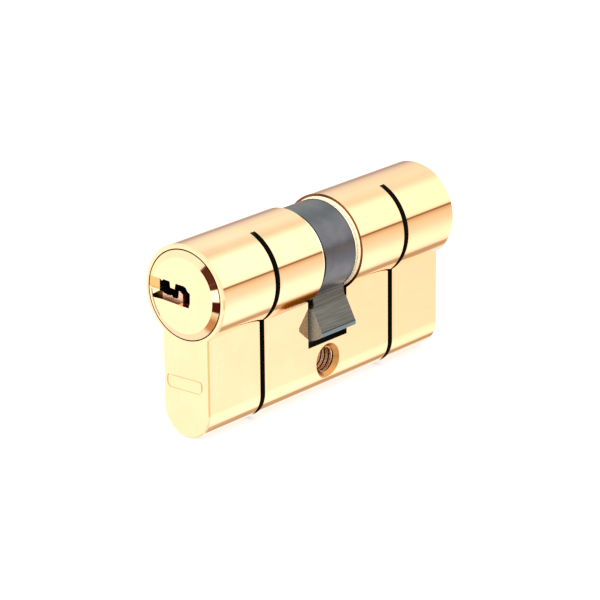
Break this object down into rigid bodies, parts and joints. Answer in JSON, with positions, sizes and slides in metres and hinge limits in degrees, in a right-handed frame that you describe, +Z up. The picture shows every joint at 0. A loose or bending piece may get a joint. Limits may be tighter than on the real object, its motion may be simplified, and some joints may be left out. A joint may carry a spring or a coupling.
{
  "type": "deadbolt lock cylinder",
  "caption": "Euro-profile double cylinder for a door deadbolt: brass body, keyed plug at each end, turning steel cam with a lug between them, snap grooves and a threaded fixing hole.",
  "frame": {"origin": "centre of the M5 fixing-screw hole, at mid length and mid width of the web", "axes": "+Y along the plugs from the front key face to the rear one, +X through the fixing-screw hole, +Z up from the web to the barrels"},
  "size_m": [0.0168, 0.061, 0.0329],
  "materials": {
    "polished_brass": "polished",
    "plug_brass": "polished",
    "stopper_brass": "polished",
    "pin_brass": "satin",
    "pin_steel": "satin",
    "spring_steel": "satin",
    "coupling_steel": "satin",
    "sintered_steel": "matte, brushed on the lug"
  },
  "bodies": {
    "housing": {"housing": "polished_brass", "chamber_plugs_front": "stopper_brass", "chamber_plugs_rear": "stopper_brass", "spring_front_1": "spring_steel", "spring_front_2": "spring_steel", "spring_front_3": "spring_steel", "spring_front_4": "spring_steel", "spring_front_5": "spring_steel", "spring_rear_1": "spring_steel", "spring_rear_2": "spring_steel", "spring_rear_3": "spring_steel", "spring_rear_4": "spring_steel", "spring_rear_5": "spring_steel"},
    "front_plug": {"plug_front": "plug_brass", "clip_front": "spring_steel"},
    "rear_plug": {"plug_rear": "plug_brass", "clip_rear": "spring_steel"},
    "cam": {"cam": "sintered_steel"},
    "front_coupling": {"coupling_front": "coupling_steel"},
    "rear_coupling": {"coupling_rear": "coupling_steel"},
    "key_pin_front_1": {"key_pin_front_1": "pin_brass"},
    "driver_pin_front_1": {"driver_pin_front_1": "pin_steel"},
    "key_pin_front_2": {"key_pin_front_2": "pin_brass"},
    "driver_pin_front_2": {"driver_pin_front_2": "pin_steel"},
    "key_pin_front_3": {"key_pin_front_3": "pin_brass"},
    "driver_pin_front_3": {"driver_pin_front_3": "pin_steel"},
    "key_pin_front_4": {"key_pin_front_4": "pin_brass"},
    "driver_pin_front_4": {"driver_pin_front_4": "pin_steel"},
    "key_pin_front_5": {"key_pin_front_5": "pin_brass"},
    "driver_pin_front_5": {"driver_pin_front_5": "pin_steel"},
    "key_pin_rear_1": {"key_pin_rear_1": "pin_brass"},
    "driver_pin_rear_1": {"driver_pin_rear_1": "pin_steel"},
    "key_pin_rear_2": {"key_pin_rear_2": "pin_brass"},
    "driver_pin_rear_2": {"driver_pin_rear_2": "pin_steel"},
    "key_pin_rear_3": {"key_pin_rear_3": "pin_brass"},
    "driver_pin_rear_3": {"driver_pin_rear_3": "pin_steel"},
    "key_pin_rear_4": {"key_pin_rear_4": "pin_brass"},
    "driver_pin_rear_4": {"driver_pin_rear_4": "pin_steel"},
    "key_pin_rear_5": {"key_pin_rear_5": "pin_brass"},
    "driver_pin_rear_5": {"driver_pin_rear_5": "pin_steel"}
  },
  "joints": [
    {"name": "front_plug_turn", "type": "hinge", "parent": "housing", "child": "front_plug", "pos_m": [0, 0, 0.01845], "axis": [0, 1, 0], "continuous": true},
    {"name": "cam_turn", "type": "hinge", "parent": "housing", "child": "cam", "pos_m": [0, 0, 0.01845], "axis": [0, 1, 0], "continuous": true},
    {"name": "rear_plug_turn", "type": "hinge", "parent": "housing", "child": "rear_plug", "pos_m": [0, 0, 0.01845], "axis": [0, 1, 0], "continuous": true},
    {"name": "coupling_shift", "type": "slide", "parent": "front_plug", "child": "front_coupling", "axis": [0, 1, 0], "range_m": [-0.0019, 0]},
    {"name": "rear_coupling_shift", "type": "slide", "parent": "rear_plug", "child": "rear_coupling", "axis": [0, 1, 0], "range_m": [-0.0019, 0]},
    {"name": "key_pin_front_1_lift", "type": "slide", "parent": "front_plug", "child": "key_pin_front_1", "axis": [0, 0, 1], "range_m": [0, 0.00235]},
    {"name": "driver_pin_front_1_press", "type": "slide", "parent": "housing", "child": "driver_pin_front_1", "axis": [0, 0, 1], "range_m": [-0.0025, 0], "stiffness_N_per_m": 150, "springref_m": 0.004, "deforming": ["spring_front_1"]},
    {"name": "key_pin_front_2_lift", "type": "slide", "parent": "front_plug", "child": "key_pin_front_2", "axis": [0, 0, 1], "range_m": [0, 0.00165]},
    {"name": "driver_pin_front_2_press", "type": "slide", "parent": "housing", "child": "driver_pin_front_2", "axis": [0, 0, 1], "range_m": [-0.0025, 0], "stiffness_N_per_m": 150, "springref_m": 0.004, "deforming": ["spring_front_2"]},
    {"name": "key_pin_front_3_lift", "type": "slide", "parent": "front_plug", "child": "key_pin_front_3", "axis": [0, 0, 1], "range_m": [0, 0.00205]},
    {"name": "driver_pin_front_3_press", "type": "slide", "parent": "housing", "child": "driver_pin_front_3", "axis": [0, 0, 1], "range_m": [-0.0025, 0], "stiffness_N_per_m": 150, "springref_m": 0.004, "deforming": ["spring_front_3"]},
    {"name": "key_pin_front_4_lift", "type": "slide", "parent": "front_plug", "child": "key_pin_front_4", "axis": [0, 0, 1], "range_m": [0, 0.00135]},
    {"name": "driver_pin_front_4_press", "type": "slide", "parent": "housing", "child": "driver_pin_front_4", "axis": [0, 0, 1], "range_m": [-0.0025, 0], "stiffness_N_per_m": 150, "springref_m": 0.004, "deforming": ["spring_front_4"]},
    {"name": "key_pin_front_5_lift", "type": "slide", "parent": "front_plug", "child": "key_pin_front_5", "axis": [0, 0, 1], "range_m": [0, 0.0019]},
    {"name": "driver_pin_front_5_press", "type": "slide", "parent": "housing", "child": "driver_pin_front_5", "axis": [0, 0, 1], "range_m": [-0.0025, 0], "stiffness_N_per_m": 150, "springref_m": 0.004, "deforming": ["spring_front_5"]},
    {"name": "key_pin_rear_1_lift", "type": "slide", "parent": "rear_plug", "child": "key_pin_rear_1", "axis": [0, 0, 1], "range_m": [0, 0.00235]},
    {"name": "driver_pin_rear_1_press", "type": "slide", "parent": "housing", "child": "driver_pin_rear_1", "axis": [0, 0, 1], "range_m": [-0.0025, 0], "stiffness_N_per_m": 150, "springref_m": 0.004, "deforming": ["spring_rear_1"]},
    {"name": "key_pin_rear_2_lift", "type": "slide", "parent": "rear_plug", "child": "key_pin_rear_2", "axis": [0, 0, 1], "range_m": [0, 0.00165]},
    {"name": "driver_pin_rear_2_press", "type": "slide", "parent": "housing", "child": "driver_pin_rear_2", "axis": [0, 0, 1], "range_m": [-0.0025, 0], "stiffness_N_per_m": 150, "springref_m": 0.004, "deforming": ["spring_rear_2"]},
    {"name": "key_pin_rear_3_lift", "type": "slide", "parent": "rear_plug", "child": "key_pin_rear_3", "axis": [0, 0, 1], "range_m": [0, 0.00205]},
    {"name": "driver_pin_rear_3_press", "type": "slide", "parent": "housing", "child": "driver_pin_rear_3", "axis": [0, 0, 1], "range_m": [-0.0025, 0], "stiffness_N_per_m": 150, "springref_m": 0.004, "deforming": ["spring_rear_3"]},
    {"name": "key_pin_rear_4_lift", "type": "slide", "parent": "rear_plug", "child": "key_pin_rear_4", "axis": [0, 0, 1], "range_m": [0, 0.00135]},
    {"name": "driver_pin_rear_4_press", "type": "slide", "parent": "housing", "child": "driver_pin_rear_4", "axis": [0, 0, 1], "range_m": [-0.0025, 0], "stiffness_N_per_m": 150, "springref_m": 0.004, "deforming": ["spring_rear_4"]},
    {"name": "key_pin_rear_5_lift", "type": "slide", "parent": "rear_plug", "child": "key_pin_rear_5", "axis": [0, 0, 1], "range_m": [0, 0.0019]},
    {"name": "driver_pin_rear_5_press", "type": "slide", "parent": "housing", "child": "driver_pin_rear_5", "axis": [0, 0, 1], "range_m": [-0.0025, 0], "stiffness_N_per_m": 150, "springref_m": 0.004, "deforming": ["spring_rear_5"]}
  ],
  "couplings": [
    {"joint": "cam_turn", "follows": "front_plug_turn", "ratio": 1},
    {"joint": "rear_coupling_shift", "follows": "coupling_shift", "ratio": 1}
  ]
}
